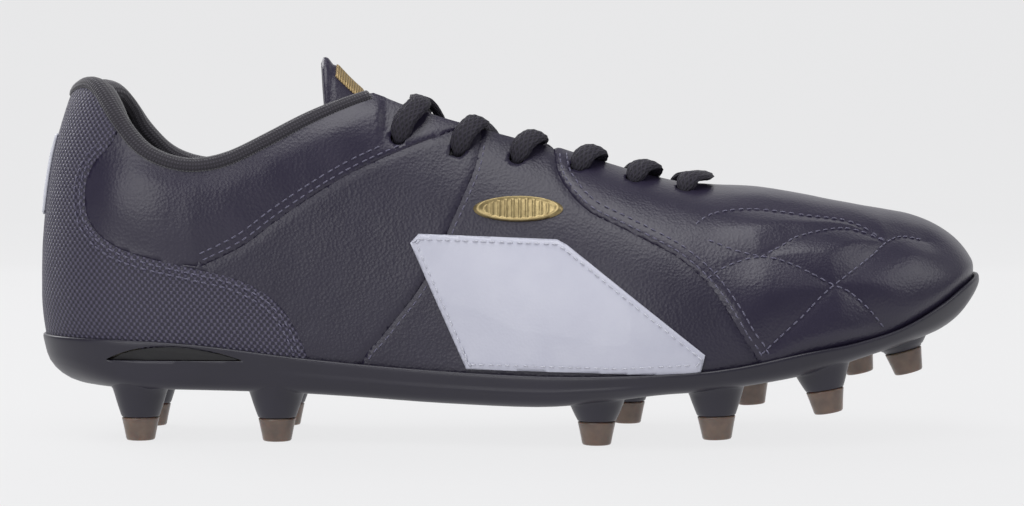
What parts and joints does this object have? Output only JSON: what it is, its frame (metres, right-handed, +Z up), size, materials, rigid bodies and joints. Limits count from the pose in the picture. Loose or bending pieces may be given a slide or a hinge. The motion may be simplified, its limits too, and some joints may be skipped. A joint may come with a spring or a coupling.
{
  "type": "soccer cleat",
  "caption": "Low-cut soccer shoe with a panelled leather-look upper, lace-up throat, padded collar and a moulded plate with conical studs.",
  "frame": {"origin": "on the ground, under the middle of the shoe's overall box", "axes": "+X towards the toe, +Z up, -Y the outer (lateral) side of the right foot"},
  "size_m": [0.2932, 0.1008, 0.1166],
  "materials": {
    "smooth_leather": "soft synthetic leather, fine grain, low gloss",
    "woven_heel": "coated synthetic with a woven relief",
    "white_saddle": "smooth white coated synthetic, satin",
    "plate": "injection-moulded nylon blend, semi-matt",
    "stud_tip": "translucent bronze moulded tip",
    "gold_trim": "metallic gold moulded or woven trim",
    "heel_patch": "pale smooth patch",
    "binding": "rolled tricot binding",
    "lining": "black lining fabric",
    "foam": "open-cell foam padding",
    "board": "fibre board",
    "cushion": "dark cushioning insert",
    "lace": "braided polyester cord",
    "aglet": "clear-black plastic tip"
  },
  "bodies": {
    "shoe": {"stud_plate": "plate", "vamp": "smooth_leather", "heel_cover": "woven_heel", "oval_badge": "gold_trim", "heel_patch": "heel_patch", "heel_stiffener": "board", "toe_puff": "board", "collar_foam": "foam", "lining": "lining", "insole_board": "board", "tongue_base": "smooth_leather", "collar_binding": "binding", "lace": "lace", "heel_cushion_lateral": "cushion", "front_quarter_lateral": "smooth_leather", "rear_quarter_lateral": "smooth_leather", "collar_panel_lateral": "smooth_leather", "saddle_lateral": "white_saddle", "aglet_lateral": "aglet", "heel_cushion_medial": "cushion", "front_quarter_medial": "smooth_leather", "rear_quarter_medial": "smooth_leather", "collar_panel_medial": "smooth_leather", "saddle_medial": "white_saddle", "aglet_medial": "aglet", "stud_tip_heel_rear_lateral": "stud_tip", "stud_tip_heel_front_lateral": "stud_tip", "stud_tip_ball_rear_lateral": "stud_tip", "stud_tip_ball_middle_lateral": "stud_tip", "stud_tip_ball_front_lateral": "stud_tip", "stud_tip_toe_lateral": "stud_tip", "stud_tip_heel_rear_medial": "stud_tip", "stud_tip_heel_front_medial": "stud_tip", "stud_tip_ball_rear_medial": "stud_tip", "stud_tip_ball_middle_medial": "stud_tip", "stud_tip_toe_medial": "stud_tip"},
    "tongue": {"tongue_face": "smooth_leather", "tongue_padding": "foam", "tongue_backing": "lining"},
    "tongue_tip": {"tongue_top": "smooth_leather", "tongue_label": "gold_trim"},
    "sockliner": {"sockliner": "lining"}
  },
  "joints": [
    {"name": "tongue_swing", "type": "hinge", "parent": "shoe", "child": "tongue", "pos_m": [0.05667, 0, 0.0665], "axis": [0, 1, 0], "range_deg": [-8, 0], "stiffness_Nm_per_rad": 0.6},
    {"name": "tongue_fold", "type": "hinge", "parent": "tongue", "child": "tongue_tip", "pos_m": [-0.04233, 0, 0.1012], "axis": [0, 1, 0], "range_deg": [-20, 45], "stiffness_Nm_per_rad": 0.08},
    {"name": "sockliner_lift", "type": "hinge", "parent": "shoe", "child": "sockliner", "pos_m": [0.11767, 0, 0.036], "axis": [0, 1, 0], "range_deg": [0, 5]}
  ]
}
